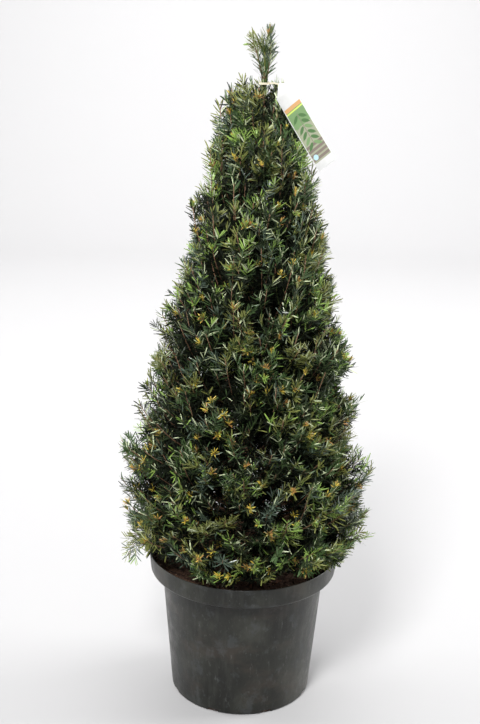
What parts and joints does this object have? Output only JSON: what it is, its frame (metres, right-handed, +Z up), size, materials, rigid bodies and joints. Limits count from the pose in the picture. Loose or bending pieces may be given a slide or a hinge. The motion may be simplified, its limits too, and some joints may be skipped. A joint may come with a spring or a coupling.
{
  "type": "potted yew",
  "caption": "Young evergreen yew grown as an upright cone in a round plastic nursery pot of compost, with a hanging plant label on its leading shoot.",
  "frame": {"origin": "centre of the pot's flat underside", "axes": "+Z up along the plant, -Y towards the side that shows the label's face, +X to the right of that view"},
  "size_m": [0.5047, 0.5105, 1.408],
  "materials": {
    "yew_needles": "satin needles, deep green with fresh green and orange tips",
    "bark": "matt flaking reddish brown bark",
    "compost": "matt dark brown peaty compost",
    "pot_plastic": "smooth satin black with dusty smudges",
    "label_card": "smooth white sheet with a printed panel"
  },
  "bodies": {
    "root": {"bough_tier_1_a": "bark", "bough_tier_1_b": "bark", "bough_tier_1_c": "bark", "bough_tier_1_d": "bark", "bough_tier_1_e": "bark", "bough_tier_1_f": "bark", "bough_tier_2_a": "bark", "bough_tier_2_b": "bark", "bough_tier_2_c": "bark", "bough_tier_2_d": "bark", "bough_tier_2_e": "bark", "bough_tier_3_a": "bark", "bough_tier_3_b": "bark", "bough_tier_3_c": "bark", "bough_tier_3_d": "bark", "bough_tier_3_e": "bark", "bough_tier_4_a": "bark", "bough_tier_4_b": "bark", "bough_tier_4_c": "bark", "bough_tier_4_d": "bark", "bough_tier_5_a": "bark", "bough_tier_5_b": "bark", "bough_tier_5_c": "bark", "bough_tier_6_a": "bark", "bough_tier_6_b": "bark", "bough_tier_6_c": "bark", "foliage_leader": "yew_needles", "foliage_tier_1_a": "yew_needles", "foliage_tier_1_b": "yew_needles", "foliage_tier_1_c": "yew_needles", "foliage_tier_1_d": "yew_needles", "foliage_tier_1_e": "yew_needles", "foliage_tier_1_f": "yew_needles", "foliage_tier_2_a": "yew_needles", "foliage_tier_2_b": "yew_needles", "foliage_tier_2_c": "yew_needles", "foliage_tier_2_d": "yew_needles", "foliage_tier_2_e": "yew_needles", "foliage_tier_3_a": "yew_needles", "foliage_tier_3_b": "yew_needles", "foliage_tier_3_c": "yew_needles", "foliage_tier_3_d": "yew_needles", "foliage_tier_3_e": "yew_needles", "foliage_tier_4_a": "yew_needles", "foliage_tier_4_b": "yew_needles", "foliage_tier_4_c": "yew_needles", "foliage_tier_4_d": "yew_needles", "foliage_tier_5_a": "yew_needles", "foliage_tier_5_b": "yew_needles", "foliage_tier_5_c": "yew_needles", "foliage_tier_6_a": "yew_needles", "foliage_tier_6_b": "yew_needles", "foliage_tier_6_c": "yew_needles", "label": "label_card", "pot": "pot_plastic", "soil": "compost", "trunk": "bark"}
  },
  "joints": []
}
